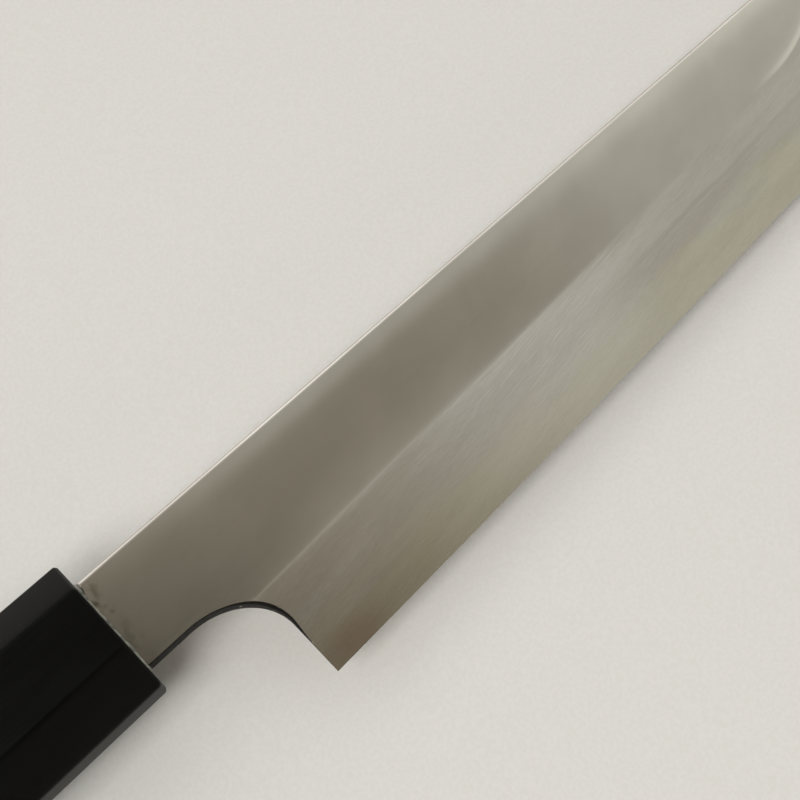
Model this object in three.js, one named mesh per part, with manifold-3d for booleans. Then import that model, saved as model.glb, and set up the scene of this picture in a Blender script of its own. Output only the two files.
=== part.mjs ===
// Takohiki: a single-bevel Japanese slicing knife with a straight back, a square tip and an octagonal handle.
// Millimetres. The knife lies on its flat back, bevelled face up, with its tip towards +X and its spine towards +Y.
// Lengths run along X from the ferrule's front face, heights run down from the spine, and thicknesses run up
// from the plane of the blade's back.

import * as THREE from 'three';
import { mergeVertices } from 'three/addons/utils/BufferGeometryUtils.js';
import Module from 'manifold-3d';

const wasm = await Module();
wasm.setup();

// Blade outline
const BLADE_LENGTH = 300; // ferrule to tip
const HEEL_SETBACK = 18.1; // ferrule to heel
const HEEL_HEIGHT = 33;
const TIP_HEIGHT = 22.3;
const EDGE_BELLY = 1.4; // the edge's bow, halfway between heel and tip
const TIP_SPINE_RADIUS = 1;
const TIP_EDGE_RADIUS = 2.5;

// Notch between neck and heel, a quarter ellipse that runs out into straight lines
const NECK_HEIGHT = 15.2;
const NOTCH_CURVE_LENGTH = 11;
const NOTCH_CURVE_HEIGHT = 9;

// Ridge between the flat upper face and the bevel
const RIDGE_DEPTH_HEEL = 18.6;
const RIDGE_DEPTH_TIP = 4;
const RIDGE_BOW = 0.7;

// Blade thickness
const SPINE_THICKNESS_NECK = 3.7;
const SPINE_THICKNESS_TIP = 1.9;
const RIDGE_THICKNESS_NECK = 3.45;
const RIDGE_THICKNESS_TIP = 1.75;
const EDGE_THICKNESS = 0.2;
const SPINE_CHAMFER = 0.4;

// Hard steel layer along the blade's back, with a shallow hollow inside flat rims
const STEEL_THICKNESS = 1.2;
const STEEL_START = 5; // ferrule to the layer's end on the neck
const BACK_CHAMFER = 0.3;
const HOLLOW_DEPTH = 0.35;
const HOLLOW_SPINE_RIM = 2.2;
const HOLLOW_EDGE_RIM = 1.8;
const HOLLOW_END_RIM = 4; // from the heel, and from the tip
const HOLLOW_RUNOUT = 16; // length over which the hollow comes to its depth

// Tang
const TANG_SHOULDER = 2.4; // step from neck to tang, above and below
const TANG_CHEEK = 0.25; // step from neck to tang, on each side
const TANG_LENGTH = 100;
const TANG_END_HEIGHT = 6;
const TANG_END_THICKNESS = 2.4;

// Handle, an octagon that tapers towards the blade
const HANDLE_LENGTH = 143;
const FERRULE_LENGTH = 35;
const FRONT_HEIGHT = 22;
const FRONT_THICKNESS = 18.6;
const FRONT_CORNER_CUT = 6;
const BUTT_HEIGHT = 24;
const BUTT_THICKNESS = 20.2;
const BUTT_CORNER_CUT = 6.5;
const RIM_CHAMFER = 0.5;
const BUTT_CHAMFER = 0.9;

// Wooden core and the seal at its mouth
const CORE_WALL = 1; // wood left above and below the slot
const CORE_REACH = 8; // core past the end of the tang
const CORE_CLEARANCE = 0.3;
const TANG_CLEARANCE = 0.3;
const SEAL_THICKNESS = 0.5; // between ferrule and neck
const SEAL_LIP = 0.35; // how far the bead stands out around the neck
const SEAL_DEPTH = 1.5; // plug inside the ferrule
const SEAL_SWELL = 0.15; // plug standing out of the ferrule's mouth

// Fineness of the curved surfaces
const BLADE_STEPS = 32;
const TIP_STEPS = 5;
const HOLLOW_POINTS = 7;
const NOTCH_STEPS = 16;
const CORE_SIDES = 40;

// Sizes that follow from the ones above
const NECK_END = SEAL_THICKNESS;
const AXIS_Y = -NECK_HEIGHT / 2;
const AXIS_Z = SPINE_THICKNESS_NECK / 2;
const TANG_HEIGHT = NECK_HEIGHT - 2 * TANG_SHOULDER;
const TANG_THICKNESS = SPINE_THICKNESS_NECK - 2 * TANG_CHEEK;
const CORE_DIAMETER = TANG_HEIGHT + 2 * (TANG_CLEARANCE + CORE_WALL);
const CORE_END = -(TANG_LENGTH + CORE_REACH);
const BORE_DIAMETER = CORE_DIAMETER + 2 * CORE_CLEARANCE;
const LAP = 1; // overlap of two shapes that are joined into one solid, and overshoot of a cut

const { lerp, smoothstep } = THREE.MathUtils;

// Share of the way from heel to tip
const reach = (x) => (x - HEEL_SETBACK) / (BLADE_LENGTH - HEEL_SETBACK);

// Straight line from heel to tip, bowed by an arch that is highest halfway
const bowed = (x, heel, tip, bow) => lerp(heel, tip, reach(x)) + 4 * bow * reach(x) * (1 - reach(x));

// How far a rounded tip corner draws the outline in
function cornerDrop(x, radius) {
  const past = Math.max(0, x - (BLADE_LENGTH - radius));
  return radius - Math.sqrt(Math.max(0, radius * radius - past * past));
}

const fullHeight = (x) => bowed(x, HEEL_HEIGHT, TIP_HEIGHT, EDGE_BELLY);
const ridgeDepth = (x) => bowed(x, RIDGE_DEPTH_HEEL, RIDGE_DEPTH_TIP, RIDGE_BOW);
const spineY = (x) => -cornerDrop(x, TIP_SPINE_RADIUS);
const edgeY = (x) => cornerDrop(x, TIP_EDGE_RADIUS) - fullHeight(x);
const spineThickness = (x) => lerp(SPINE_THICKNESS_NECK, SPINE_THICKNESS_TIP, x / BLADE_LENGTH);
const ridgeThickness = (x) => lerp(RIDGE_THICKNESS_NECK, RIDGE_THICKNESS_TIP, x / BLADE_LENGTH);

// Thickness of the bevel at a place across it
function bevelThickness(x, y) {
  const share = (-y - ridgeDepth(x)) / (fullHeight(x) - ridgeDepth(x));
  return lerp(ridgeThickness(x), EDGE_THICKNESS, share);
}

// Where the seam between the two steels comes out on the bevel
function seamY(x) {
  const share = (ridgeThickness(x) - STEEL_THICKNESS) / (ridgeThickness(x) - EDGE_THICKNESS);
  return -lerp(ridgeDepth(x), fullHeight(x), share);
}

function hollowDepth(x) {
  const start = HEEL_SETBACK + HOLLOW_END_RIM;
  const end = BLADE_LENGTH - HOLLOW_END_RIM;
  const heelSide = smoothstep(x, start, start + HOLLOW_RUNOUT);
  const tipSide = 1 - smoothstep(x, end - HOLLOW_RUNOUT, end);
  return HOLLOW_DEPTH * heelSide * tipSide;
}

// Evenly spaced values, both ends included
const spaced = (start, end, steps) => Array.from({ length: steps + 1 }, (_, i) => lerp(start, end, i / steps));

// Closed body through sections across X, each a ring of [y, z] points, anticlockwise seen from the tip.
// The first and last sections are convex.
function loft(xs, sectionAt) {
  const rings = xs.map(sectionAt);
  const size = rings[0].length;
  const positions = rings.flatMap((ring, i) => ring.flatMap(([y, z]) => [xs[i], y, z]));
  const triangles = [];
  for (let ring = 0; ring < rings.length - 1; ring++) {
    for (let point = 0; point < size; point++) {
      const a = ring * size + point;
      const b = ring * size + ((point + 1) % size);
      triangles.push(a, b, b + size, a, b + size, a + size);
    }
  }
  const last = (rings.length - 1) * size;
  for (let point = 1; point < size - 1; point++) {
    triangles.push(0, point + 1, point);
    triangles.push(last, last + point, last + point + 1);
  }
  const geometry = new THREE.BufferGeometry();
  geometry.setAttribute('position', new THREE.Float32BufferAttribute(positions, 3));
  geometry.setIndex(triangles);
  return geometry;
}

function toSolid(geometry) {
  const bare = geometry.clone();
  bare.deleteAttribute('normal');
  bare.deleteAttribute('uv');
  const merged = mergeVertices(bare);
  const vertProperties = merged.getAttribute('position').array;
  const triVerts = Uint32Array.from(merged.getIndex().array);
  return new wasm.Manifold(new wasm.Mesh({ numProp: 3, vertProperties, triVerts }));
}

function toGeometry(solid) {
  const { vertProperties, triVerts } = solid.getMesh();
  const geometry = new THREE.BufferGeometry();
  geometry.setAttribute('position', new THREE.BufferAttribute(vertProperties, 3));
  geometry.setIndex(new THREE.BufferAttribute(triVerts, 1));
  geometry.computeVertexNormals();
  return geometry;
}

// Ring of a rectangle on the handle's axis
function rectangle(height, thickness) {
  const top = AXIS_Y + height / 2;
  const bottom = AXIS_Y - height / 2;
  const front = AXIS_Z + thickness / 2;
  const back = AXIS_Z - thickness / 2;
  return [[top, front], [bottom, front], [bottom, back], [top, back]];
}

// Ring of the handle's octagon, drawn in by an inset
function octagon(x, inset) {
  const share = -x / HANDLE_LENGTH;
  const height = lerp(FRONT_HEIGHT, BUTT_HEIGHT, share) / 2 - inset;
  const thickness = lerp(FRONT_THICKNESS, BUTT_THICKNESS, share) / 2 - inset;
  const cut = lerp(FRONT_CORNER_CUT, BUTT_CORNER_CUT, share) - inset * (2 - Math.SQRT2);
  const corners = [[height, thickness - cut], [height - cut, thickness], [cut - height, thickness]];
  corners.push([-height, thickness - cut], [-height, cut - thickness], [cut - height, -thickness]);
  corners.push([height - cut, -thickness], [height, cut - thickness]);
  return corners.map(([y, z]) => [AXIS_Y + y, AXIS_Z + z]);
}

// Round bar on the handle's axis
function roundBar(start, end, diameter) {
  const bar = new THREE.CylinderGeometry(diameter / 2, diameter / 2, end - start, CORE_SIDES);
  return bar.rotateZ(Math.PI / 2).translate((start + end) / 2, AXIS_Y, AXIS_Z);
}

// Tapered bar of the tang's shape, grown on every side by a clearance
function tangBar(front, clearance) {
  const end = -TANG_LENGTH - clearance;
  const share = (x) => (NECK_END - x) / (NECK_END + TANG_LENGTH);
  const section = (x) => rectangle(
    lerp(TANG_HEIGHT, TANG_END_HEIGHT, share(x)) + 2 * clearance,
    lerp(TANG_THICKNESS, TANG_END_THICKNESS, share(x)) + 2 * clearance,
  );
  return loft([end, front], section);
}

// Whole blade section, both steels together
function neckSection(x) {
  const front = spineThickness(x);
  return [
    [spineY(x), front - SPINE_CHAMFER], [spineY(x) - SPINE_CHAMFER, front], [-ridgeDepth(x), ridgeThickness(x)],
    [edgeY(x), bevelThickness(x, edgeY(x))], [edgeY(x), 0], [spineY(x) - BACK_CHAMFER, 0], [spineY(x), BACK_CHAMFER],
  ];
}

// Soft iron above the seam
function ironSection(x) {
  const front = spineThickness(x);
  const chamfer = Math.min(SPINE_CHAMFER, (front - STEEL_THICKNESS) / 2);
  return [
    [spineY(x), front - chamfer], [spineY(x) - chamfer, front], [-ridgeDepth(x), ridgeThickness(x)],
    [seamY(x), STEEL_THICKNESS], [spineY(x), STEEL_THICKNESS],
  ];
}

// Hard steel below the seam, with the hollow as a parabola between its rims
function steelSection(x) {
  const low = edgeY(x) + HOLLOW_EDGE_RIM;
  const high = spineY(x) - HOLLOW_SPINE_RIM;
  const hollow = spaced(-1, 1, HOLLOW_POINTS - 1).map((across) => (
    [lerp(low, high, (across + 1) / 2), hollowDepth(x) * (1 - across * across)]
  ));
  return [
    [spineY(x), STEEL_THICKNESS], [seamY(x), STEEL_THICKNESS], [edgeY(x), bevelThickness(x, edgeY(x))],
    [edgeY(x), 0], ...hollow, [spineY(x) - BACK_CHAMFER, 0], [spineY(x), BACK_CHAMFER],
  ];
}

// Everything below the neck and behind the heel, through the whole thickness
function notchCutter() {
  const start = NECK_END - LAP;
  const bottom = -HEEL_HEIGHT - LAP - EDGE_BELLY;
  const outline = new THREE.Shape();
  outline.moveTo(start, bottom);
  outline.lineTo(HEEL_SETBACK, bottom);
  outline.lineTo(HEEL_SETBACK, -NECK_HEIGHT - NOTCH_CURVE_HEIGHT);
  const centreX = HEEL_SETBACK - NOTCH_CURVE_LENGTH;
  const centreY = -NECK_HEIGHT - NOTCH_CURVE_HEIGHT;
  outline.absellipse(centreX, centreY, NOTCH_CURVE_LENGTH, NOTCH_CURVE_HEIGHT, 0, Math.PI / 2, false);
  outline.lineTo(start, -NECK_HEIGHT);
  const depth = SPINE_THICKNESS_NECK + 2 * LAP;
  const cutter = new THREE.ExtrudeGeometry(outline, { depth, bevelEnabled: false, curveSegments: NOTCH_STEPS });
  return toSolid(cutter.translate(0, 0, -LAP));
}

function bladeStations(start) {
  const straightEnd = BLADE_LENGTH - Math.max(TIP_SPINE_RADIUS, TIP_EDGE_RADIUS);
  const quarter = spaced(0, Math.PI / 2, TIP_STEPS).slice(1);
  const corner = quarter.map((angle) => lerp(straightEnd, BLADE_LENGTH, Math.sin(angle)));
  return [...spaced(start, straightEnd, BLADE_STEPS), ...corner];
}

function softIronBlade() {
  const body = loft([STEEL_START - LAP, ...bladeStations(STEEL_START)], ironSection);
  const neck = loft([NECK_END, STEEL_START - LAP, STEEL_START], neckSection);
  const tang = tangBar(NECK_END + LAP, 0);
  return toSolid(body).add(toSolid(neck)).add(toSolid(tang)).subtract(notchCutter());
}

function hardSteelEdge() {
  return toSolid(loft(bladeStations(STEEL_START), steelSection)).subtract(notchCutter());
}

// Plug in the ferrule's mouth with a bead around the end of the neck
function tangMouthSeal() {
  const plug = roundBar(-SEAL_DEPTH, SEAL_SWELL, CORE_DIAMETER);
  const bead = () => rectangle(NECK_HEIGHT + 2 * SEAL_LIP, SPINE_THICKNESS_NECK + 2 * SEAL_LIP);
  const tangHole = tangBar(NECK_END + LAP, TANG_CLEARANCE);
  return toSolid(plug).add(toSolid(loft([0, NECK_END], bead))).subtract(toSolid(tangHole));
}

function hornFerrule() {
  const shell = loft([-FERRULE_LENGTH, -RIM_CHAMFER, 0], (x) => octagon(x, Math.max(0, x + RIM_CHAMFER)));
  return toSolid(shell).subtract(toSolid(roundBar(-FERRULE_LENGTH - LAP, LAP, BORE_DIAMETER)));
}

function handleBody() {
  const chamferStart = BUTT_CHAMFER - HANDLE_LENGTH;
  const stations = [-HANDLE_LENGTH, chamferStart, -FERRULE_LENGTH];
  const shell = loft(stations, (x) => octagon(x, Math.max(0, chamferStart - x)));
  const bore = roundBar(CORE_END - CORE_CLEARANCE, LAP - FERRULE_LENGTH, BORE_DIAMETER);
  return toSolid(shell).subtract(toSolid(bore));
}

function tangCore() {
  const bar = roundBar(CORE_END, -SEAL_DEPTH, CORE_DIAMETER);
  return toSolid(bar).subtract(toSolid(tangBar(NECK_END + LAP, TANG_CLEARANCE)));
}

const finishes = {
  iron: new THREE.MeshStandardMaterial({ color: '#a39d8f', roughness: 0.32, metalness: 1 }),
  steel: new THREE.MeshStandardMaterial({ color: '#aeaa9c', roughness: 0.28, metalness: 1 }),
  sealant: new THREE.MeshStandardMaterial({ color: '#a3a596', roughness: 0.3, metalness: 0 }),
  horn: new THREE.MeshStandardMaterial({ color: '#0f0f0e', roughness: 0.35, metalness: 0 }),
  ebony: new THREE.MeshStandardMaterial({ color: '#1a1613', roughness: 0.5, metalness: 0 }),
  magnolia: new THREE.MeshStandardMaterial({ color: '#c9b489', roughness: 0.7, metalness: 0 }),
};

const pieces = [
  ['soft_iron_blade', softIronBlade(), finishes.iron],
  ['hard_steel_edge', hardSteelEdge(), finishes.steel],
  ['tang_mouth_seal', tangMouthSeal(), finishes.sealant],
  ['horn_ferrule', hornFerrule(), finishes.horn],
  ['handle_body', handleBody(), finishes.ebony],
  ['tang_core', tangCore(), finishes.magnolia],
];

const knife = new THREE.Group();
for (const [name, solid, material] of pieces) {
  const mesh = new THREE.Mesh(toGeometry(solid), material);
  mesh.name = name;
  knife.add(mesh);
}

// The origin lies under the middle of the knife, at the level of its lowest face
const box = new THREE.Box3().setFromObject(knife);
const middle = box.getCenter(new THREE.Vector3());
knife.position.set(-middle.x, -middle.y, -box.min.z);

export default knife;
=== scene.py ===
"""Takohiki: the looks of a single-bevel Japanese slicing knife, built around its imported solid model.

The knife lies on its back with its bevelled face up: +X runs to the tip, +Y to the spine, +Z out of the face.
Pieces are drawn in millimetres in the knife's own frame, with x from the ferrule's front face, y from the
spine and z from the plane of the blade's back. Each finished mesh is then set into the shared frame, which is
in metres.
"""

import logging
import math
from collections.abc import Callable, Sequence
from dataclasses import dataclass, replace
from enum import Enum, IntEnum
from typing import Any, ClassVar

import bmesh
import bpy
import numpy as np
from mathutils import Matrix, Vector, noise
from mathutils.geometry import delaunay_2d_cdt


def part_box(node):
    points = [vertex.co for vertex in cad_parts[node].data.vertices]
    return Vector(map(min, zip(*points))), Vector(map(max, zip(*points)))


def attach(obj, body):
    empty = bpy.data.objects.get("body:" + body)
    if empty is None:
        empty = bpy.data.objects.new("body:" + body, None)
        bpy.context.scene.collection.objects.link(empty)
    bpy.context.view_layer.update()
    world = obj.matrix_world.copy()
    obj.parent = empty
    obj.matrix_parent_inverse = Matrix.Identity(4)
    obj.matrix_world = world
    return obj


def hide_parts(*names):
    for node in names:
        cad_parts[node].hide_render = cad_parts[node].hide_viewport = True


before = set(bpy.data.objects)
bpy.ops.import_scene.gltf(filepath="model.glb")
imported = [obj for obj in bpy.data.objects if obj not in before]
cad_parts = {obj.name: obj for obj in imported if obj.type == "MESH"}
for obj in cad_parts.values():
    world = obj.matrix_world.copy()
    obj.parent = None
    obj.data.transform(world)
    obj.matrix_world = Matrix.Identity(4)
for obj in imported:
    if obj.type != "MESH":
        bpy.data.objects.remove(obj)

LOG = logging.getLogger("takohiki")
MM = 0.001
WELD = 0.002  # mm, points of a piece closer than this are one
MERGE = 1e-6  # mm, the same for the points of a plate's cover, before it joins the rim
INSIDE_ONLY = 1  # way of filling an outline that leaves out what lies beyond it
SHARP = math.radians(32)  # facets that meet at more than this keep a crisp edge
BODY = "root"

Point2 = tuple[float, float]
Point3 = tuple[float, float, float]
Line = list[Point2]
Ring = list[Vector]
Height = Callable[[float, float], float]  # of a surface, at a place along and across the blade
Fade = tuple[float, ...]  # where a ramp starts and ends, then its share at each if that isn't 0 and 1
Piece = bpy.types.Object
Tree = bpy.types.NodeTree
Socket = bpy.types.NodeSocket
Layer = tuple[Socket, Any]  # how much of it shows, and its colour


def lerp(start: float, end: float, share: float) -> float:
    """Returns the value at a share of the way from start to end."""
    return start + (end - start) * share


def held(share: float) -> float:
    """Returns a share held between 0 and 1."""
    return min(max(share, 0.0), 1.0)


def smooth(value: float, start: float = 0.0, end: float = 1.0) -> float:
    """Returns the share of the way from start to end, eased in and out."""
    share = held((value - start) / (end - start))
    return share * share * (3 - 2 * share)


def spaced(start: float, end: float, step: float) -> list[float]:
    """Returns evenly spaced values from start to end, about one step apart."""
    count = max(1, round(abs(end - start) / step))
    return [lerp(start, end, i / count) for i in range(count + 1)]


def between(count: int) -> list[float]:
    """Returns the shares at which a number of rows part a width evenly."""
    return [i / (count + 1) for i in range(1, count + 1)]


def quarter(steps: int) -> list[float]:
    """Returns the angles of a quarter turn, in even steps."""
    return [math.pi / 2 * i / steps for i in range(steps + 1)]


def waver(x: float, y: float, size: float, seed: float) -> float:
    """Returns a smooth unevenness from about -1 to 1, with waves of one size; the seed picks the pattern."""
    return noise.noise(Vector((x / size, y / size, seed)))


def linear(code: str) -> tuple[float, float, float, float]:
    """Turns an sRGB hex colour into the linear colour that a shader takes.

    Args:
        code: colour such as "#c8c2b4".

    Returns:
        Red, green, blue and full opacity.
    """
    values = [int(code[i : i + 2], 16) / 255 for i in (1, 3, 5)]
    red, green, blue = (v / 12.92 if v <= 0.04045 else ((v + 0.055) / 1.055) ** 2.4 for v in values)
    return red, green, blue, 1.0


def add_node(tree: Tree, kind: str, *inputs: Any, out: str = "", **settings: Any) -> Socket:
    """Adds a node with its settings, and fills its inputs in order, by value or by link.

    Args:
        tree: node tree to add to.
        kind: the node's type, without the part that all of them share.
        inputs: a value or another node's output for each input in use, or None to leave it.
        out: name of the output wanted; without it, the first in use.
        settings: the node's own settings.

    Returns:
        The output.
    """
    node = tree.nodes.new("ShaderNode" + kind)
    for name, value in settings.items():
        setattr(node, name, value)
    for socket, value in zip([s for s in node.inputs if s.enabled], inputs):
        if isinstance(value, Socket):
            tree.links.new(value, socket)
        elif value is not None:
            socket.default_value = value
    return next(s for s in node.outputs if s.enabled and out in ("", s.name))


def knife_origin() -> Vector:
    """Returns where the knife's own frame starts, in the shared frame, in metres."""
    iron_low, iron_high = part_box("soft_iron_blade")
    return Vector((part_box("horn_ferrule")[1].x, iron_high.y, iron_low.z))


def place_mesh(name: str, bm: bmesh.types.BMesh) -> Piece:
    """Welds a mesh drawn in the knife's frame and adds it to the scene in the shared frame.

    Args:
        name: the piece's name.
        bm: closed mesh in mm, freed here.

    Returns:
        The new piece.
    """
    bmesh.ops.remove_doubles(bm, verts=bm.verts, dist=WELD)
    bmesh.ops.recalc_face_normals(bm, faces=bm.faces)
    if bm.calc_volume(signed=True) < 0:
        bmesh.ops.reverse_faces(bm, faces=bm.faces)
    mesh = bpy.data.meshes.new(name)
    bm.to_mesh(mesh)
    bm.free()
    mesh.transform(Matrix.Translation(knife_origin()) @ Matrix.Scale(MM, 4))
    mesh.shade_smooth()
    mesh.set_sharp_from_angle(angle=SHARP)
    piece = bpy.data.objects.new(name, mesh)
    bpy.context.scene.collection.objects.link(piece)
    return piece


def fit_piece(piece: Piece, node: str, slot: str) -> None:
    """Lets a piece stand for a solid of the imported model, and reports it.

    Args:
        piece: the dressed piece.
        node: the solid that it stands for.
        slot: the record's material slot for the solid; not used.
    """
    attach(piece, BODY)
    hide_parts(node)
    LOG.info("%s stands for %s, %d faces", piece.name, node, len(piece.data.polygons))


def loft(name: str, rings: Sequence[Ring], looped: bool) -> Piece:
    """Skins rings that have the same number of points into a closed piece.

    Args:
        name: the piece's name.
        rings: closed rings of points, in order.
        looped: whether the last ring joins the first; otherwise both ends get a fan.

    Returns:
        The piece.
    """
    bm = bmesh.new()
    skins = [[bm.verts.new(point) for point in ring] for ring in rings]
    for one, two in zip(skins, skins[1:] + skins[:1] if looped else skins[1:]):
        for i in range(len(one)):
            bm.faces.new((one[i - 1], one[i], two[i], two[i - 1]))
    for ring in () if looped else (skins[0], skins[-1]):
        middle = bm.verts.new(sum((v.co for v in ring), Vector()) / len(ring))
        for i in range(len(ring)):
            bm.faces.new((ring[i - 1], ring[i], middle))
    return place_mesh(name, bm)


# Finishes

SPAN: Fade = (0.3, 0.7)  # most of a grain's values lie between these
METAL = {"Metallic": 1.0}


class Distance(Enum):
    """The distances that the blade's meshes carry at each point, in mm."""

    NECK = "neck_offset"
    RIDGE = "ridge_offset"
    SEAM = "seam_offset"
    HEEL = "heel_offset"


@dataclass(frozen=True)
class Grain:
    """A grain as it lies on a piece.

    Attributes:
        size: width of one grain along x, y and z, in mm.
        angle: its turn in the blade's plane, in degrees.
        detail: octaves of finer grain in it.
        seed: shift that picks another part of the pattern, in grains.
    """

    size: Point3
    angle: float = 0.0
    detail: float = 2.0
    seed: float = 0.0

    def drawn(self, tree: Tree) -> Socket:
        """Draws the grain.

        Args:
            tree: the material's tree.

        Returns:
            The grain's value, around 0.5.
        """
        widths = [width * MM for width in self.size]
        shift = [self.seed * width for width in widths]
        turn = (0.0, 0.0, math.radians(self.angle))
        place = add_node(tree, "TexCoord", out="Object")
        lain = add_node(tree, "Mapping", place, shift, turn, widths, vector_type="TEXTURE")
        return add_node(tree, "TexNoise", lain, 1.0, self.detail)


def shown(tree: Tree, *ramps: tuple[Any, ...]) -> Socket:
    """Works out how much of something shows, as the product of eased ramps.

    Args:
        tree: the material's tree.
        ramps: for each ramp a value and its fade.

    Returns:
        The share.
    """
    shares = [add_node(tree, "MapRange", *ramp, interpolation_type="SMOOTHSTEP") for ramp in ramps]
    product = shares[0]
    for share in shares[1:]:
        product = add_node(tree, "Math", product, share, operation="MULTIPLY")
    return product


@dataclass(frozen=True)
class Finish:
    """A surface as it was made, turned into a material on first use.

    Attributes:
        name: the material's name.
        even: shader values that are the same all over.
        shade: the ground colour's darker tone.
        light: its lighter tone.
        tones: grains that add up to the ground's tone.
        tone_range: their sum at the darker and at the lighter tone.
        lines: grain that gloss and relief follow, if the surface has one.
        roughness: at the grain's low and at its high values.
        relief: height of the grain, in mm.
    """

    name: ClassVar[str]
    even: ClassVar[dict[str, float]] = {}
    shade: str
    light: str
    tones: tuple[Grain, ...]
    tone_range: Fade = SPAN
    lines: Grain | None = None
    roughness: Point2 = (0.5, 0.5)
    relief: float = 0.0

    def material(self) -> bpy.types.Material:
        """Makes the finish's material, or finds it again.

        Returns:
            The material.
        """
        made = bpy.data.materials.get(self.name)
        if made is None:
            made = bpy.data.materials.new(self.name)
            made.use_nodes = True
            self.dress(made.node_tree)
        return made

    def dress(self, tree: Tree) -> None:
        """Fills a material's shader.

        Args:
            tree: the material's tree.
        """
        shader = tree.nodes["Principled BSDF"].inputs
        for name, value in self.even.items():
            shader[name].default_value = value
        tone = self.tone(tree)
        colour = add_node(tree, "Mix", tone, linear(self.shade), linear(self.light), data_type="RGBA")
        for share, cover in self.layers(tree, tone):
            over = linear(cover) if isinstance(cover, str) else cover
            colour = add_node(tree, "Mix", share, colour, over, data_type="RGBA")
        tree.links.new(colour, shader["Base Color"])
        if self.lines is not None:
            lines = self.lines.drawn(tree)
            tree.links.new(self.gloss(tree, lines), shader["Roughness"])
            height = self.height(tree, lines)
            tree.links.new(add_node(tree, "Bump", 1.0, self.relief * MM, None, height), shader["Normal"])

    def tone(self, tree: Tree) -> Socket:
        """Works out where the ground lies between its darker and its lighter tone.

        Args:
            tree: the material's tree.

        Returns:
            The share of the lighter tone.
        """
        grains = [grain.drawn(tree) for grain in self.tones]
        level = grains[0]
        for grain in grains[1:]:
            level = add_node(tree, "Math", level, grain, operation="ADD")
        return shown(tree, (level, *self.tone_range))

    def layers(self, tree: Tree, tone: Socket) -> list[Layer]:
        """Returns what lies over the ground, the lowest first: how much of it shows, and its colour."""
        return []

    def gloss(self, tree: Tree, lines: Socket) -> Socket:
        """Returns the roughness that goes with the lines."""
        return shown(tree, (lines, *SPAN, *self.roughness))

    def height(self, tree: Tree, lines: Socket) -> Socket:
        """Returns the height that the relief follows."""
        return lines


@dataclass(frozen=True)
class BuffedIron(Finish):
    """Soft iron, ground flat and buffed along the blade.

    It gives a soft, even, warm mirror with the faintest clouds, dulled in spots where the seal meets it. It
    carries a painted highlight along the ridge near the heel, and half way along the blade a painted
    reflection, a bright arc that leaves the ridge and bends up on to the flat. Places along the blade are
    from the ferrule, places across it from the ridge, minus towards the spine, in mm.
    """

    name: ClassVar[str] = "soft_iron_buffed_flat"
    even: ClassVar[dict[str, float]] = METAL
    shade: str = "#c4c1b2"
    light: str = "#cac7b8"
    tones: tuple[Grain, ...] = (Grain((14.4, 9.0, 9.0), 38, 3),)
    tone_range: Fade = (0.35, 0.65)
    lines: Grain = Grain((16.0, 0.22, 0.22), 1.5)  # finer on the knife, drawn as wide as it shows
    roughness: Point2 = (0.155, 0.175)
    relief: float = 0.00006
    stain: str = "#868270"
    spots: Grain = Grain((1.7, 2.2, 1.7), 0, 4, 7)
    spot_fade: Fade = (0.46, 0.66)
    stain_along: Fade = (0.4, 3.2, 0.75, 0.0)
    stain_across: Fade = (-14.0, -8.0, 1.15, 0.5)
    # painted highlight: near-white colour for the light line along the ridge and for the bright arc, both
    # standing in for reflections
    painted_highlight: str = "#f3f1de"
    ridge_line: Fade = (-0.7, 0.0, 0.0, 0.16)
    ridge_highlight_along: tuple[Fade, ...] = ((22.0, 42.0, 0.2, 1.0), (44.0, 60.0, 1.0, 0.0))
    sweep_start: float = 140.0
    sweep_rise: float = 0.95  # how far above the ridge the bent line starts
    sweep_bend: float = 0.0145  # how far it climbs, in mm per square mm of its length
    sweep_core: Fade = (0.0, 1.3, 0.85, 0.0)
    sweep_glow: Fade = (-3.2, 0.2)
    sweep_glow_share: float = 0.4
    sweep_below: Fade = (0.1, 0.55, 1.0, 0.0)
    sweep_along: tuple[Fade, ...] = ((133.0, 147.0), (150.0, 164.0, 1.0, 0.0))

    def layers(self, tree: Tree, tone: Socket) -> list[Layer]:
        """Lays on the stain by the seal, then the painted highlight and the painted reflection along the
        ridge.

        Args:
            tree: the material's tree.
            tone: the ground's tone; not used.

        Returns:
            How much of each layer shows, and its colour.
        """
        along, ridge = (
            add_node(tree, "Attribute", out="Fac", attribute_name=name.value)
            for name in (Distance.NECK, Distance.RIDGE)
        )
        spots = (self.spots.drawn(tree), *self.spot_fade)
        stained = shown(tree, (along, *self.stain_along), spots, (ridge, *self.stain_across))
        # painted highlight: a light line just above the ridge, from about 22 to 60 mm along the blade
        ridge_highlight = shown(tree, (ridge, *self.ridge_line), *((along, *fade) for fade in self.ridge_highlight_along))
        # painted reflection: a bright arc that leaves the ridge and climbs on to the flat towards the tip
        past = add_node(tree, "Math", along, self.sweep_start, operation="SUBTRACT")
        past = add_node(tree, "Math", past, 0.0, operation="MAXIMUM")
        climb = add_node(tree, "Math", past, 2.0, operation="POWER")
        climb = add_node(tree, "Math", climb, self.sweep_bend, self.sweep_rise, operation="MULTIPLY_ADD")
        sweep = add_node(tree, "Math", ridge, climb, operation="ADD")
        off = add_node(tree, "Math", sweep, operation="ABSOLUTE")
        core = shown(tree, (off, *self.sweep_core))
        rise = (sweep, *self.sweep_glow)
        glow = shown(tree, rise, (*rise, 0.0, self.sweep_glow_share))
        bright = add_node(tree, "Math", core, glow, operation="MAXIMUM")
        kept = shown(tree, (sweep, *self.sweep_below), *((along, *fade) for fade in self.sweep_along))
        painted_highlighted = add_node(tree, "Math", bright, kept, ridge_highlight, operation="MULTIPLY_ADD")
        return [(stained, self.stain), (painted_highlighted, self.painted_highlight)]


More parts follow.
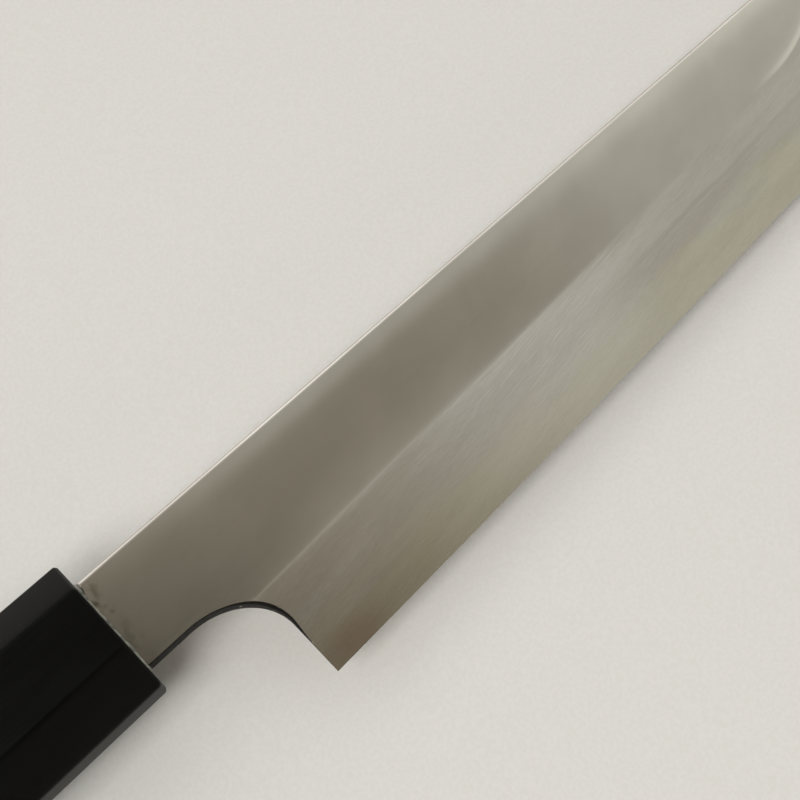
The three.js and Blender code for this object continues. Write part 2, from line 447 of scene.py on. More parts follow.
@dataclass(frozen=True)
class StonedBevel(Finish):
    """The bevel, drawn over water stones at a slant to the edge.

    The soft iron comes up as a pale haze with many fine bright scratches. Below the weld the hard steel is
    smoother and a little yellower, and the heel's corner carries a brown breath. Places along the blade are
    from the ferrule, places across it down from the ridge, in mm.
    """

    name: ClassVar[str] = "iron_and_steel_stoned_bevel"
    even: ClassVar[dict[str, float]] = METAL
    slant: ClassVar[float] = 6.5  # degrees between the strokes and the blade
    shade: str = "#c1bcac"
    light: str = "#d1cdbf"
    tones: tuple[Grain, ...] = (Grain((26.0, 3.5, 3.5), slant, 3, 2), Grain((1.8, 0.13, 0.13), slant, 1, 6))
    tone_shares: Point2 = (0.6, 0.4)
    lines: Grain = Grain((5.0, 0.14, 0.14), slant, 2, 9)  # the stone's grit, drawn coarser so that it shows
    roughness: Point2 = (0.21, 0.19)  # of iron and of steel
    line_roughness: float = 0.02
    relief: float = 0.0001
    steel_shade: str = "#c8c3ab"
    steel_light: str = "#d5d1ba"
    wave: Grain = Grain((14.0, 3.0, 3.0), 2, 3, 4)
    wave_height: float = 1.6  # how far the border between iron and steel wanders
    steel_fade: Fade = (-2.6, 2.4)
    heel_brown: str = "#b89b88"
    heel_fade: Fade = (0.4, 4.2, 0.48, 0.0)
    weld: str = "#a8a290"
    weld_drop: float = 5.0  # where the weld shows as a dim line
    weld_wave: float = 0.1  # how much of the border's wandering it shares
    weld_core: Fade = (0.0, 0.75, 0.36, 0.0)
    weld_tail: tuple[Fade, ...] = ((-0.4, 0.8), (0.8, 5.5, 0.24, 0.1))
    weld_along: tuple[Fade, ...] = ((80.0, 104.0), (116.0, 140.0, 1.0, 0.6))
    dull: Fade = (0.1, 2.0, 0.32, 0.0)  # the darker strip just under the ridge
    dull_along: tuple[Fade, ...] = ((66.0, 90.0), (96.0, 112.0, 1.0, 0.0))
    scratch: str = "#efede5"
    scratches: Grain = Grain((9.0, 0.1, 0.1), slant, 0, 3)  # drawn wider than on the knife, so that they show
    scratch_fade: Fade = (0.7, 0.8, 0.0, 0.55)
    hairs: Grain = Grain((3.6, 0.08, 0.08), slant, 0, 8)
    hair_fade: Fade = (0.56, 0.74, 0.0, 0.22)
    strewn: Grain = Grain((16.0, 5.0, 5.0), slant, 1, 5)
    strewn_fade: Fade = (0.36, 0.6, 0.35, 1.0)
    scratched_along: tuple[Fade, ...] = ((32.0, 62.0), (86.0, 116.0, 1.0, 0.1))
    mist: Fade = (82.0, 102.0, 0.2, 0.0)  # the scratches too fine to tell apart, along the blade
    steel_clear: float = 0.8  # how much of the scratches the hard steel is spared

    def tone(self, tree: Tree) -> Socket:
        """Works out the ground's tone from clouds and fine grain.

        Args:
            tree: the material's tree.

        Returns:
            The share of the lighter tone.
        """
        grains = zip(self.tones, self.tone_shares)
        shares = [shown(tree, (grain.drawn(tree), *SPAN, 0.0, most)) for grain, most in grains]
        return add_node(tree, "Math", *shares, operation="ADD")

    def wandering(self, tree: Tree) -> Socket:
        """Returns how far the border between iron and steel wanders."""
        return shown(tree, (self.wave.drawn(tree), *SPAN, -self.wave_height, self.wave_height))

    def hardness(self, tree: Tree, wave: Socket) -> Socket:
        """Works out where the bevel is hard steel.

        Args:
            tree: the material's tree.
            wave: how far the border wanders.

        Returns:
            The share of hard steel.
        """
        seam = add_node(tree, "Attribute", out="Fac", attribute_name=Distance.SEAM.value)
        below = add_node(tree, "Math", seam, wave, operation="ADD")
        return shown(tree, (below, *self.steel_fade))

    def layers(self, tree: Tree, tone: Socket) -> list[Layer]:
        """Lays on the hard steel, the heel's brown, the weld's dim line, the mist and the scratches.

        Args:
            tree: the material's tree.
            tone: the ground's tone.

        Returns:
            How much of each layer shows, and its colour.
        """
        along, ridge, heel = (
            add_node(tree, "Attribute", out="Fac", attribute_name=name.value)
            for name in (Distance.NECK, Distance.RIDGE, Distance.HEEL)
        )
        wave = self.wandering(tree)
        hard = self.hardness(tree, wave)
        dark, light = linear(self.steel_shade), linear(self.steel_light)
        steel = add_node(tree, "Mix", tone, dark, light, data_type="RGBA")
        brown = shown(tree, (heel, *self.heel_fade))
        drop = add_node(tree, "Math", wave, self.weld_wave, ridge, operation="MULTIPLY_ADD")
        drop = add_node(tree, "Math", drop, self.weld_drop, operation="SUBTRACT")
        off = add_node(tree, "Math", drop, operation="ABSOLUTE")
        core = shown(tree, (off, *self.weld_core))
        tail = shown(tree, *((drop, *fade) for fade in self.weld_tail))
        line = add_node(tree, "Math", core, tail, operation="MAXIMUM")
        stretch = shown(tree, *((along, *fade) for fade in self.weld_along))
        line = add_node(tree, "Math", line, stretch, operation="MULTIPLY")
        under_ridge = shown(tree, (ridge, *self.dull), *((along, *fade) for fade in self.dull_along))
        dim = add_node(tree, "Math", line, under_ridge, operation="MAXIMUM")
        zone = [(along, *fade) for fade in self.scratched_along]
        mist = shown(tree, *zone, (along, *self.mist))
        long = shown(tree, (self.scratches.drawn(tree), *self.scratch_fade))
        short = shown(tree, (self.hairs.drawn(tree), *self.hair_fade))
        drawn = add_node(tree, "Math", long, short, operation="MAXIMUM")
        strewn = shown(tree, (self.strewn.drawn(tree), *self.strewn_fade), *zone)
        drawn = add_node(tree, "Math", drawn, strewn, operation="MULTIPLY")
        spared = add_node(tree, "Math", hard, -self.steel_clear, 1.0, operation="MULTIPLY_ADD")
        drawn = add_node(tree, "Math", drawn, spared, operation="MULTIPLY")
        worn = [(mist, self.scratch), (drawn, self.scratch)]
        return [(hard, steel), (brown, self.heel_brown), (dim, self.weld), *worn]

    def gloss(self, tree: Tree, lines: Socket) -> Socket:
        """Works out the roughness: iron or steel, and the stone's lines.

        Args:
            tree: the material's tree.
            lines: the stone's lines.

        Returns:
            The roughness.
        """
        hard = self.hardness(tree, self.wandering(tree))
        rough = shown(tree, (hard, 0.0, 1.0, *self.roughness))
        uneven = shown(tree, (lines, *SPAN, -self.line_roughness, self.line_roughness))
        return add_node(tree, "Math", rough, uneven, operation="ADD")


@dataclass(frozen=True)
class FiledIron(Finish):
    """Iron and steel filed and smoothed by rubbing on the spine and the blade's ends.

    It gives a plain satin edge with fine lines along it.
    """

    name: ClassVar[str] = "iron_filed_rim"
    even: ClassVar[dict[str, float]] = METAL
    shade: str = "#dcd5cb"
    light: str = "#eae4db"
    tones: tuple[Grain, ...] = (Grain((14.0, 3.0, 3.0), 0, 3, 1),)
    lines: Grain = Grain((6.0, 0.18, 0.18), 0, 2, 5)
    roughness: Point2 = (0.16, 0.22)
    relief: float = 0.0004


@dataclass(frozen=True)
class PaintedNotchShade(Finish):
    """The notch's wall, a rough surface painted near black as painted shade, with small bright painted
    glints.
    """

    name: ClassVar[str] = "notch_wall_painted_shade"
    even: ClassVar[dict[str, float]] = {"Specular IOR Level": 0.06}
    # painted shade: near-black colour for the wall of the notch and its eased corner
    shade: str = "#0d0c0b"
    light: str = "#1c1a17"
    lines: Grain = Grain((0.7, 0.7, 0.7), 0, 3, 4)
    tones: tuple[Grain, ...] = (lines,)
    tone_range: Fade = (0.35, 0.65)
    roughness: Point2 = (0.45, 0.6)
    relief: float = 0.01
    # painted glints: small bright spots on the dark wall
    glint: str = "#8f8b82"
    glints: Grain = Grain((0.9, 0.9, 0.9), 0, 1, 11)
    glint_fade: Fade = (0.68, 0.74)

    def layers(self, tree: Tree, tone: Socket) -> list[Layer]:
        """Returns the painted glints, with how much of them shows."""
        return [(shown(tree, (self.glints.drawn(tree), *self.glint_fade)), self.glint)]


@dataclass(frozen=True)
class HollowGroundSteel(Finish):
    """Hard steel, hollowed on a large wheel on the blade's back.

    The wheel leaves close lines along the blade and a darker, softer shine than the lapped rim around it.
    """

    name: ClassVar[str] = "hard_steel_hollow_ground"
    even: ClassVar[dict[str, float]] = METAL
    shade: str = "#a39d90"
    light: str = "#b9b4a7"
    lines: Grain = Grain((26.0, 0.4, 0.4), -2, 3, 6)  # coarser than the wheel's own lines, so that they show
    tones: tuple[Grain, ...] = (lines, Grain((30.0, 6.0, 6.0), 0, 3, 8))
    tone_range: Fade = (0.75, 1.25)
    roughness: Point2 = (0.26, 0.4)
    relief: float = 0.0015


@dataclass(frozen=True)
class LappedSteel(Finish):
    """Hard steel lapped flat on a fine stone, around the hollow of the back.

    It is the brightest steel on the knife, nearly a mirror, with short fine lines at a slant.
    """

    name: ClassVar[str] = "hard_steel_lapped_flat"
    even: ClassVar[dict[str, float]] = METAL
    shade: str = "#bfbaad"
    light: str = "#d2cec3"
    tones: tuple[Grain, ...] = (Grain((9.0, 5.0, 5.0), 0, 2, 2),)
    tone_range: Fade = (0.35, 0.65)
    lines: Grain = Grain((4.0, 0.2, 0.2), 24, 2, 3)  # coarser than the stone's own lines, so that they show
    roughness: Point2 = (0.12, 0.22)
    relief: float = 0.0006


@dataclass(frozen=True)
class SatinHorn(Finish):
    """Black buffalo horn, sanded and polished to a satin.

    It is almost black and very even, with the faintest long fibres.
    """

    name: ClassVar[str] = "buffalo_horn_satin"
    even: ClassVar[dict[str, float]] = {"Specular IOR Level": 0.06, "IOR": 1.54}
    shade: str = "#050504"
    light: str = "#080807"
    lines: Grain = Grain((12.0, 0.4, 0.4), 0, 3, 2)
    tones: tuple[Grain, ...] = (lines, Grain((12.0, 4.0, 4.0), 0, 3, 5))
    tone_range: Fade = (0.8, 1.25)
    roughness: Point2 = (0.37, 0.4)
    relief: float = 0.0001


@dataclass(frozen=True)
class OiledEbony(Finish):
    """Ebony, planed to facets, sanded and oiled.

    Nearly black heartwood with straight brown streaks, short open pores and a low satin shine.
    """

    name: ClassVar[str] = "ebony_oiled"
    even: ClassVar[dict[str, float]] = {"Specular IOR Level": 0.3}
    shade: str = "#13100e"
    light: str = "#2b221c"
    lines: Grain = Grain((16.0, 0.35, 0.35), 0, 3, 1)
    tones: tuple[Grain, ...] = (lines, Grain((70.0, 2.6, 2.6), 0, 4, 3))
    line_share: float = 0.5  # how much the fibres count in the tone, beside the wider bands
    tone_range: Fade = (0.66, 0.95)
    end_fade: Fade = (0.6, 0.95, 1.0, 0.25)  # end grain, facing along the handle, shows less of the streaks
    roughness: Point2 = (0.36, 0.5)
    relief: float = 0.012
    line_height: float = 0.4  # height of the fibres as a share of the pores' depth
    pore: str = "#070605"
    pores: Grain = Grain((3.2, 0.22, 0.22), 0, 1, 6)
    pore_fade: Fade = (0.64, 0.72)

    def tone(self, tree: Tree) -> Socket:
        """Works out the tone from bands and fibres, weaker on end grain.

        Args:
            tree: the material's tree.

        Returns:
            The share of the streaks' colour.
        """
        fibres, bands = (grain.drawn(tree) for grain in self.tones)
        level = add_node(tree, "Math", fibres, self.line_share, bands, operation="MULTIPLY_ADD")
        facing = add_node(tree, "NewGeometry", out="Normal")
        end = add_node(tree, "Math", add_node(tree, "SeparateXYZ", facing), operation="ABSOLUTE")
        return shown(tree, (level, *self.tone_range), (end, *self.end_fade))

    def layers(self, tree: Tree, tone: Socket) -> list[Layer]:
        """Returns the dark pores, with how much of them shows."""
        return [(shown(tree, (self.pores.drawn(tree), *self.pore_fade)), self.pore)]

    def height(self, tree: Tree, lines: Socket) -> Socket:
        """Works out the height of the fibres with the pores cut into them.

        Args:
            tree: the material's tree.
            lines: the fibres.

        Returns:
            The height.
        """
        pores = shown(tree, (self.pores.drawn(tree), *self.pore_fade))
        fibres = add_node(tree, "Math", lines, self.line_height, operation="MULTIPLY")
        return add_node(tree, "Math", fibres, pores, operation="SUBTRACT")


@dataclass(frozen=True)
class SealingCompound(Finish):
    """Pale sealing compound, wiped into the mouth of the ferrule by hand.

    It sets to a waxy grey green with a wet gloss and small uneven lumps.
    """

    name: ClassVar[str] = "sealing_compound_waxy"
    shade: str = "#6b6d66"
    light: str = "#a9aca2"
    lines: Grain = Grain((1.3, 1.3, 1.3), 0, 3, 1)
    tones: tuple[Grain, ...] = (lines,)
    tone_range: Fade = (0.35, 0.65)
    roughness: Point2 = (0.08, 0.25)
    relief: float = 0.05


@dataclass(frozen=True)
class RawMagnolia(Finish):
    """Magnolia, turned and left raw: pale straight-grained wood with a dry, even surface."""

    name: ClassVar[str] = "magnolia_raw_turned"
    shade: str = "#b59f72"
    light: str = "#d0bd92"
    lines: Grain = Grain((40.0, 0.8, 0.8), 0, 3, 2)
    tones: tuple[Grain, ...] = (lines,)
    roughness: Point2 = (0.6, 0.75)
    relief: float = 0.02


@dataclass(frozen=True)
class StudioPaper(Finish):
    """Pale matt paper under the knife, with a tooth too fine to catch the eye."""

    name: ClassVar[str] = "studio_paper_pale"
    even: ClassVar[dict[str, float]] = {"Roughness": 0.9, "Specular IOR Level": 0.2}
    shade: str = "#d9d7d1"
    light: str = "#dddbd6"
    tones: tuple[Grain, ...] = (Grain((0.6, 0.6, 0.6)),)


# Blade


class Side(Enum):
    """Which of a plate's two surfaces."""

    FRONT = "front"
    BACK = "back"


class BladeFace(IntEnum):
    """The blade's surfaces, by how they were worked; the number is the material slot."""

    FLAT = 0
    BEVEL = 1
    RIM = 2
    HOLLOW = 3
    LAPPED = 4
    # the notch's wall and corner, painted dark as shade
    NOTCH = 5


BLADE_FINISHES: dict[BladeFace, Finish] = {
    BladeFace.FLAT: BuffedIron(),
    BladeFace.BEVEL: StonedBevel(),
    BladeFace.RIM: FiledIron(),
    BladeFace.HOLLOW: HollowGroundSteel(),
    BladeFace.LAPPED: LappedSteel(),
    BladeFace.NOTCH: PaintedNotchShade(),
}


@dataclass(frozen=True)
class RimPoint:
    """A point of a plate's outline. Sizes in mm.

    Attributes:
        x: place along the blade.
        y: place across it.
        front_ease: how far the corner to the front is eased.
        back_ease: how far the corner to the back is eased.
        drop: depth of the front's easing as a share of its width.
        corner: the face that the eased front corner belongs to, from this point to the next.
        wall: the same for the rim's wall.
    """

    x: float
    y: float
    front_ease: float = 0.0
    back_ease: float = 0.0
    drop: float = 1.0
    corner: BladeFace = BladeFace.RIM
    wall: BladeFace = BladeFace.RIM


@dataclass
class Plate:
    """A closed plate between two surfaces, with its rim eased along its outline.

    Attributes:
        outline: the rim, counter-clockwise as seen from the front.
        front: height of the front surface.
        back: height of the back surface.
        front_lines: lines that the front's facets follow.
        back_lines: lines that the back's facets follow.
        face_at: names the face that a facet belongs to, from its middle and its side.
        ease_steps: facets across an eased corner.
        land: width of the strip inside the rim that keeps the corner's shading off the face, in mm.
        clearance: least distance between a line's point and the rim, in mm.
    """

    outline: list[RimPoint]
    front: Height
    back: Height
    front_lines: list[Line]
    back_lines: list[Line]
    face_at: Callable[[float, float, Side], BladeFace]
    ease_steps: int = 7
    land: float = 0.12
    clearance: float = 0.12

    def mesh(self) -> bmesh.types.BMesh:
        """Draws the plate: its rim, then a cover on each side.

        Returns:
            The closed mesh, in mm.
        """
        bm = bmesh.new()
        rings = [[bm.verts.new(point) for point in ring] for ring in self._rings()]
        for step, (one, two) in enumerate(zip(rings, rings[1:])):
            for i in range(len(one)):
                j = (i + 1) % len(one)
                facet = bm.faces.new((one[i], two[i], two[j], one[j]))
                facet.material_index = self._rim_face(step, i, (one[i].co + two[j].co) / 2)
        self._cover(bm, rings[0], Side.FRONT)
        self._cover(bm, rings[-1], Side.BACK)
        return bm

    def _rim_face(self, step: int, index: int, middle: Vector) -> BladeFace:
        """Names the face of a facet of the rim.

        Args:
            step: which strip of the rim, counted from the front.
            index: which point of the outline it starts at.
            middle: the facet's middle.

        Returns:
            The face.
        """
        if step == 0:
            return self.face_at(middle.x, middle.y, Side.FRONT)
        if step <= self.ease_steps:
            return self.outline[index].corner
        if step == self.ease_steps + 1:
            return self.outline[index].wall
        return BladeFace.RIM

    def _inward(self) -> list[Vector]:
        """Works out the direction into the plate at each point of the outline.

        Returns:
            The directions, longer at corners.
        """
        spots = [Vector((p.x, p.y)) for p in self.outline]
        after = [(spots[(i + 1) % len(spots)] - spot).normalized() for i, spot in enumerate(spots)]
        left = [Vector((-way.y, way.x)) for way in after]
        return [(left[i - 1] + left[i]) / (1 + left[i - 1].dot(left[i])) for i in range(len(spots))]

    def _rings(self) -> list[Ring]:
        """Draws the rim's rings.

        Returns:
            The rings, from the front surface over the eased corners to the back surface.
        """
        spots = zip(self.outline, self._inward())
        inner = [Vector((p.x, p.y)) + inward * (p.front_ease + self.land) for p, inward in spots]
        land = [Vector((*spot, self.front(*spot))) for spot in inner]
        return [land, *self._corner(Side.FRONT), *self._corner(Side.BACK)[::-1]]

    def _corner(self, side: Side) -> list[Ring]:
        """Draws the rings of an eased corner.

        Args:
            side: the surface that the corner leads to.

        Returns:
            The rings, from that surface to the rim's wall.
        """
        facing = side is Side.FRONT
        height = self.front if facing else self.back
        runs = []
        for p, inward in zip(self.outline, self._inward()):
            ease, drop = (p.front_ease, -p.drop) if facing else (p.back_ease, 1.0)
            rim = Vector((p.x, p.y))
            level = height(*(rim + inward * ease))
            run = []
            for turn in quarter(self.ease_steps):
                spot = rim + inward * ease * (1 - math.sin(turn))
                run.append(Vector((*spot, level + ease * drop * (1 - math.cos(turn)))))
            runs.append(run)
        return [list(ring) for ring in zip(*runs)]

    def _cover(self, bm: bmesh.types.BMesh, border: list[bmesh.types.BMVert], side: Side) -> None:
        """Covers one side of the plate with facets that follow its lines.

        Args:
            bm: the plate's mesh.
            border: the ring that bounds the side.
            side: which side.
        """
        facing = side is Side.FRONT
        height, lines = (self.front, self.front_lines) if facing else (self.back, self.back_lines)
        rim = np.array([v.co[:2] for v in border])
        points = [Vector(spot) for spot in rim]
        edges = [(i, (i + 1) % len(rim)) for i in range(len(rim))]
        for line in lines:
            previous = None
            for spot, inside in zip(line, clear_of(rim, np.array(line), self.clearance)):
                if inside:
                    points.append(Vector(spot))
                    if previous is not None:
                        edges.append((previous, len(points) - 1))
                    previous = len(points) - 1
                else:
                    previous = None
        spots, _, faces, sources, _, _ = delaunay_2d_cdt(points, edges, [], INSIDE_ONLY, MERGE, True)
        verts = []
        for spot, source in zip(spots, sources):
            known = [i for i in source if i < len(border)]
            verts.append(border[known[0]] if known else bm.verts.new((*spot, height(*spot))))
        middles = [sum((spots[i] for i in corners), Vector((0, 0))) / len(corners) for corners in faces]
        kept = clear_of(rim, np.array(middles), 0.0)
        for corners, middle, inside in zip(faces, middles, kept):
            if inside:
                facet = bm.faces.new([verts[i] for i in (corners if facing else reversed(corners))])
                facet.material_index = self.face_at(middle.x, middle.y, side)


def clear_of(rim: np.ndarray, spots: np.ndarray, clearance: float) -> np.ndarray:
    """Tells which points lie inside a closed outline and away from it.

    Args:
        rim: the outline's points.
        spots: points to test.
        clearance: least distance from the outline.

    Returns:
        True for each point that is inside and clear.
    """
    start = rim[None, :, :]
    along = np.roll(rim, -1, axis=0)[None, :, :] - start
    to_spot = spots[:, None, :] - start
    share = np.clip((to_spot * along).sum(2) / (along**2).sum(2), 0, 1)
    gap = np.linalg.norm(to_spot - share[..., None] * along, axis=2).min(1)
    rises = (start[..., 1] > spots[:, None, 1]) != (start[..., 1] + along[..., 1] > spots[:, None, 1])
    with np.errstate(divide="ignore", invalid="ignore"):
        crossing = start[..., 0] + along[..., 0] * to_spot[..., 1] / along[..., 1]
    inside = (rises & (spots[:, None, 0] < crossing)).sum(1) % 2 == 1
    return inside & (gap > clearance)


@dataclass
class BladeForm:
    """The blade's shape, shared by its two steels. Sizes in mm.

    Attributes:
        length: ferrule to tip.
    """

    length: float
    heel_setback: float = 18.1
    heel_height: float = 33.0
    tip_height: float = 22.3
    edge_belly: float = 1.4
    edge_thickness: float = 0.05
    tip_spine_radius: float = 1.0
    tip_spine_steps: int = 6
    neck_start: float = 0.12
    neck_height: float = 15.2
    notch_length: float = 11.0
    notch_height: float = 9.0
    notch_steps: int = 24
    notch_worn: float = 5.0  # depth below the neck over which the notch's easing grows
    notch_sharp: float = 12.0  # height above the heel's corner over which it dies out again
    ridge_heel: float = 18.3
    ridge_tip: float = 4.0
    ridge_bow: float = 1.4
    ridge_soft: float = 0.07  # height over which flat and bevel run into each other
    ridge_soft_heel: float = 0.3  # share of it at the heel
    ridge_soft_run: float = 28.0  # length over which it grows from there
    spine_neck: float = 3.7
    spine_tip: float = 1.9
    ridge_thick_neck: float = 3.45
    ridge_thick_tip: float = 1.75
    crown: float = 0.29  # how far the flat drops at the spine
    crown_width: float = 5.4
    crown_power: float = 2.5
    neck_crown: float = 0.1  # share of the drop at the neck
    neck_crown_run: float = 42.0
    neck_crown_width: float = 4.5
    crown_widens: Point2 = (40.0, 90.0)
    fall: float = 0.11  # how far it drops at the ridge
    fall_width: float = 6.8
    fall_limit: float = 1.5  # how far its curve is followed, in its widths; 1 is at the ridge
    fall_swell: float = 0.35  # how much more and less it drops, by turns, up to the blade's middle
    swell_length: float = 84.0
    swell_start: float = 25.0
    swell_end: Point2 = (96.0, 116.0)
    flat_wave: float = 0.01
    bevel_wave: float = 0.006
    bevel_wave_start: float = 1 / 6  # share of the bevel over which its waves take over from the flat's
    wave_size: float = 24.0
    wave_squeeze: float = 1.5
    wave_seed: float = 3.7
    wave_spine_rim: float = 3.0  # the waves die out this far from the spine
    wave_edge_rim: float = 4.0  # and from the edge
    steel_thickness: float = 1.2
    steel_start: float = 5.0
    hollow_depth: float = 0.35
    hollow_spine_rim: float = 2.2
    hollow_edge_rim: float = 1.8
    hollow_end_rim: float = 4.0
    hollow_runout: float = 16.0
    hollow_end_steps: int = 24
    tang_shoulder: float = 2.4
    tang_cheek: float = 0.25
    tang_length: float = 100.0
    tang_end_height: float = 6.0
    tang_end_thickness: float = 2.4
    step: float = 0.03  # run over which a square step in the surface is drawn
    spine_ease: float = 0.62
    spine_drop: float = 0.55
    rim_ease: float = 0.1
    heel_ease: float = 0.45
    back_ease: float = 0.25
    bloom: Point2 = (23.0, 31.4)  # the brown breath near the heel: its middle, along and below the spine
    bloom_stretch: float = 2.1
    station: float = 2.0
    first_station: float = 0.2
    neck_station: float = 0.8
    heel_station: float = 0.5
    seam_halvings: int = 24
    seam_step: float = 4 * WELD  # how far the bevel still stands above the steel's inner face at the seam

    def _bowed(self, x: float, heel: float, tip: float, bow: float) -> float:
        """Returns a depth below the spine that runs from heel to tip with a bow."""
        share = (x - self.heel_setback) / (self.length - self.heel_setback)
        return lerp(heel, tip, share) + 4 * bow * share * (1 - share)

    def edge_depth(self, x: float) -> float:
        """Returns how far the edge lies below the spine."""
        return self._bowed(x, self.heel_height, self.tip_height, self.edge_belly)

    def ridge_depth(self, x: float) -> float:
        """Returns how far the ridge lies below the spine."""
        return self._bowed(x, self.ridge_heel, self.ridge_tip, self.ridge_bow)

    def front(self, x: float, y: float) -> float:
        """Works out the height of the blade's front, from tang to tip.

        Args:
            x: place along the blade.
            y: place across it.

        Returns:
            The height above the back.
        """
        if x < self.neck_start - self.step:
            return self.spine_neck / 2 + self.tang_half(x)
        depth, ridge, edge = -y, self.ridge_depth(x), self.edge_depth(x)
        ridge_height = lerp(self.ridge_thick_neck, self.ridge_thick_tip, x / self.length)
        spine_height = lerp(self.spine_neck, self.spine_tip, x / self.length)
        down = (depth - ridge) / (edge - ridge)
        swell = math.sin((x - self.swell_start) / self.swell_length * math.tau)
        swell *= smooth(x, 0.0, self.swell_start) * (1 - smooth(x, *self.swell_end))
        most = self.fall * (1 + self.fall_swell * swell)
        fall = min(max(1 - (ridge - depth) / self.fall_width, 0.0), self.fall_limit)
        bevel = lerp(ridge_height - most, self.edge_thickness, down)
        flat = lerp(spine_height, ridge_height, depth / ridge) - most * fall**2
        softened = smooth(x, self.heel_setback, self.heel_setback + self.ridge_soft_run)
        soft = self.ridge_soft * lerp(self.ridge_soft_heel, 1.0, softened)
        meet = max(soft - abs(flat - bevel), 0.0)
        face = min(flat, bevel) - meet * meet / (4 * soft)
        width = lerp(self.neck_crown_width, self.crown_width, smooth(x, *self.crown_widens))
        crown = self.crown * lerp(self.neck_crown, 1.0, smooth(x, 0.0, self.neck_crown_run))
        crown *= max(1 - depth / width, 0.0) ** self.crown_power
        wave = lerp(self.flat_wave, self.bevel_wave, smooth(down, 0.0, self.bevel_wave_start))
        wave *= smooth(depth, 0.0, self.wave_spine_rim) * smooth(edge - depth, 0.0, self.wave_edge_rim)
        return face - crown + wave * waver(x, y * self.wave_squeeze, self.wave_size, self.wave_seed)

    def tang_half(self, x: float) -> float:
        """Returns half of the tang's thickness."""
        front = self.spine_neck / 2 - self.tang_cheek
        return lerp(front, self.tang_end_thickness / 2, held((self.neck_start - x) / self.tang_length))

    def seam_depth(self, x: float) -> float:
        """Finds where the two steels part on the bevel, by halving.

        Args:
            x: place along the blade.

        Returns:
            The depth below the spine.
        """
        low, high = self.ridge_depth(x), self.edge_depth(x)
        for _ in range(self.seam_halvings):
            middle = (low + high) / 2
            if self.front(x, -middle) > self.steel_thickness + self.seam_step:
                low = middle
            else:
                high = middle
        return low

    def iron_back(self, x: float, y: float) -> float:
        """Works out the height of the iron's back: tang, neck, then the face on the hard steel.

        Args:
            x: place along the blade.
            y: place across it; not used.

        Returns:
            The height above the back.
        """
        if x < self.neck_start - self.step:
            return self.spine_neck / 2 - self.tang_half(x)
        return 0.0 if x < self.steel_start else self.steel_thickness

    def steel_front(self, x: float, y: float) -> float:
        """Returns the height of the hard steel's front: its face on the iron, then the bevel."""
        seam = self.seam_depth(max(x, self.heel_setback))
        return self.front(x, y) if -y >= seam - WELD else self.steel_thickness

    def hollow_sides(self, x: float) -> Point2:
        """Returns the middle and the half width of the back's hollow."""
        high, low = -self.hollow_spine_rim, self.hollow_edge_rim - self.edge_depth(x)
        return (high + low) / 2, (high - low) / 2

    def hollow_place(self, x: float, across: float) -> float:
        """Returns the place across the blade, from -1 to 1 over the hollow's width."""
        middle, half = self.hollow_sides(x)
        return middle + half * across

    def hollow(self, x: float, y: float) -> float:
        """Works out how deep the back is hollowed: a shallow trough with round ends.

        Args:
            x: place along the blade.
            y: place across it.

        Returns:
            The depth.
        """
        start, end = self.heel_setback + self.hollow_end_rim, self.length - self.hollow_end_rim
        middle, half = self.hollow_sides(x)
        across = (y - middle) / half
        along = max(1 - min(x - start, end - x) / self.hollow_runout, 0.0)
        return self.hollow_depth * max(1 - across * across - along * along, 0.0)

    def hollow_rim(self, grow: float) -> list[Line]:
        """Draws the hollow's outline as two sides and two round ends.

        Args:
            grow: size of the outline, 1 for the hollow's own.

        Returns:
            Its lines.
        """
        run = self.hollow_runout
        start, end = self.heel_setback + self.hollow_end_rim + run, self.length - self.hollow_end_rim - run
        lines = []
        for side in (-grow, grow):
            lines.append([(x, self.hollow_place(x, side)) for x in self.stations(start, end)])
        turns = spaced(-math.pi / 2, math.pi / 2, math.pi / self.hollow_end_steps)
        for middle, reach in ((start, -run * grow), (end, run * grow)):
            places = [middle + reach * math.cos(turn) for turn in turns]
            lines.append([(x, self.hollow_place(x, grow * math.sin(turn))) for x, turn in zip(places, turns)])
        return lines

    def stations(self, start: float, end: float) -> list[float]:
        """Returns places along the blade."""
        return spaced(start, end, self.station)

    def edge_stations(self, end: float) -> list[float]:
        """Returns places along the edge, the first close to the heel."""
        return [self.heel_setback + self.first_station] + self.stations(self.heel_setback, end)[1:]

    def spine_run(self, stop: float) -> list[RimPoint]:
        """Draws the rim from the tip's square end round its corner and along the spine.

        Args:
            stop: where the run ends, towards the neck.

        Returns:
            Rim points, towards the neck.
        """
        radius = self.tip_spine_radius
        run = []
        for turn in quarter(self.tip_spine_steps):
            x, y = self.length - radius + radius * math.cos(turn), -radius + radius * math.sin(turn)
            share = math.sin(turn) ** 2
            ease = lerp(self.rim_ease, self.spine_ease, share)
            run.append(RimPoint(x, y, ease, drop=lerp(1.0, self.spine_drop, share)))
        return run + self.spine_points(self.stations(self.length - radius - self.station, stop))

    def spine_points(self, places: list[float]) -> list[RimPoint]:
        """Returns points of the rim on the spine."""
        return [RimPoint(x, 0.0, self.spine_ease, drop=self.spine_drop) for x in places]

    def notch_run(self, start: float, end_depth: float) -> list[RimPoint]:
        """Draws the rim along the neck's underside, round the notch and down the heel.

        Args:
            start: where the run starts on the neck.
            end_depth: how far down the heel it goes.

        Returns:
            Rim points, towards the heel.
        """
        middle = self.heel_setback - self.notch_length
        low = self.neck_height + self.notch_height
        run = [(x, -self.neck_height) for x in spaced(start, middle, self.neck_station)[:-1]]
        for turn in quarter(self.notch_steps):
            x, y = middle + self.notch_length * math.sin(turn), self.notch_height * math.cos(turn) - low
            run.append((x, y))
        seam = self.seam_depth(self.heel_setback)
        stops = [low, seam, end_depth] if seam < end_depth else [low, end_depth]
        for one, two in zip(stops, stops[1:]):
            run += [(self.heel_setback, y) for y in spaced(-one, -two, self.heel_station)[1:]]
        points = [RimPoint(x, y, corner=BladeFace.NOTCH, wall=BladeFace.NOTCH) for x, y in run]
        points[-1] = replace(points[-1], corner=BladeFace.BEVEL, wall=BladeFace.BEVEL)
        return points

